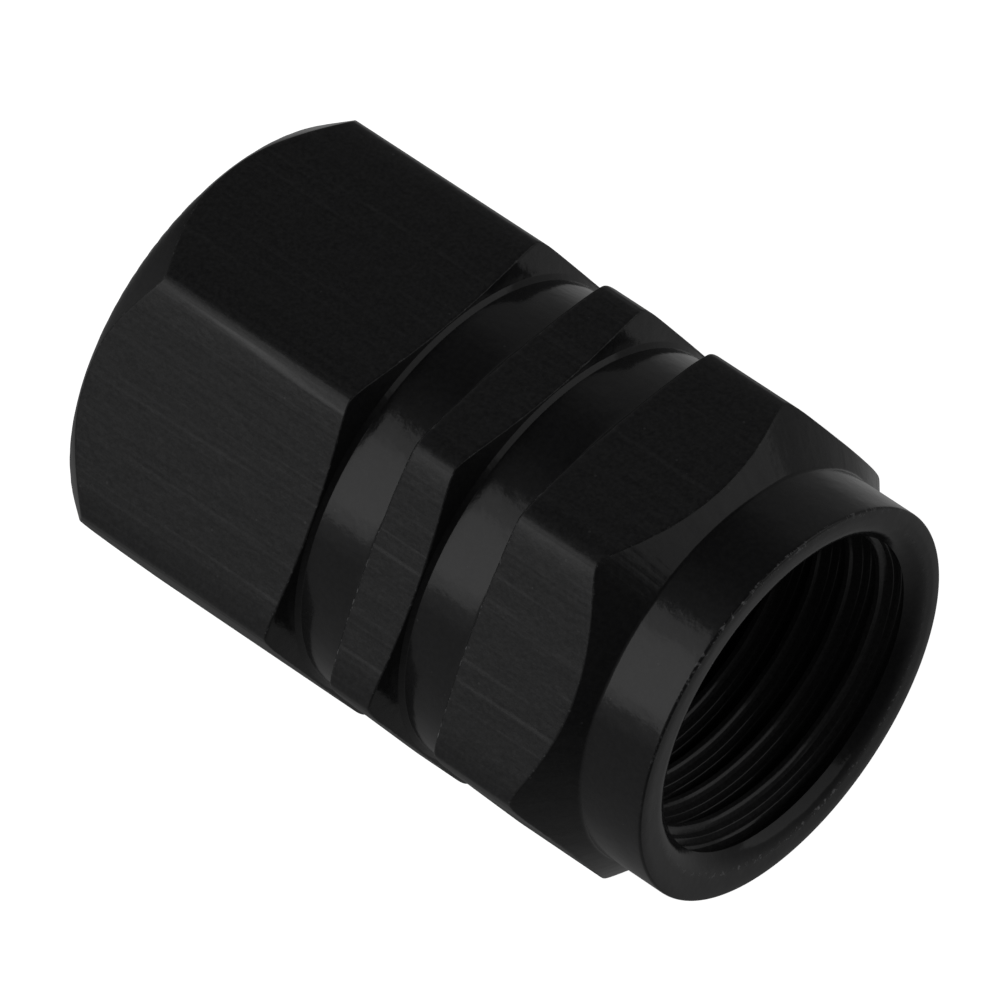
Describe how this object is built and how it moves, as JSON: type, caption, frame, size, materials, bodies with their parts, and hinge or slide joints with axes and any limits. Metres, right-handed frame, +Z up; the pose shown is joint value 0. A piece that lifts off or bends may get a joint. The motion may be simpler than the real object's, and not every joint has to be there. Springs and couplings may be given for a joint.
{
  "type": "tyre valve cap",
  "caption": "Black anodised hexagonal tyre valve cap turned from bar, with turned grooves, a round collar and a blind threaded mouth that screws onto a valve stem.",
  "frame": {"origin": "middle of the bounding box's base, under the cap's axis, on the flat that it lies on", "axes": "+X along the thread's axis and out of the mouth, +Z up from the flat that the cap lies on"},
  "size_m": [0.0152, 0.011, 0.0097],
  "materials": {
    "black_anodised": "black anodised, turned and drawn surfaces left bare"
  },
  "bodies": {
    "root": {"valve_cap": "black_anodised"}
  },
  "joints": []
}
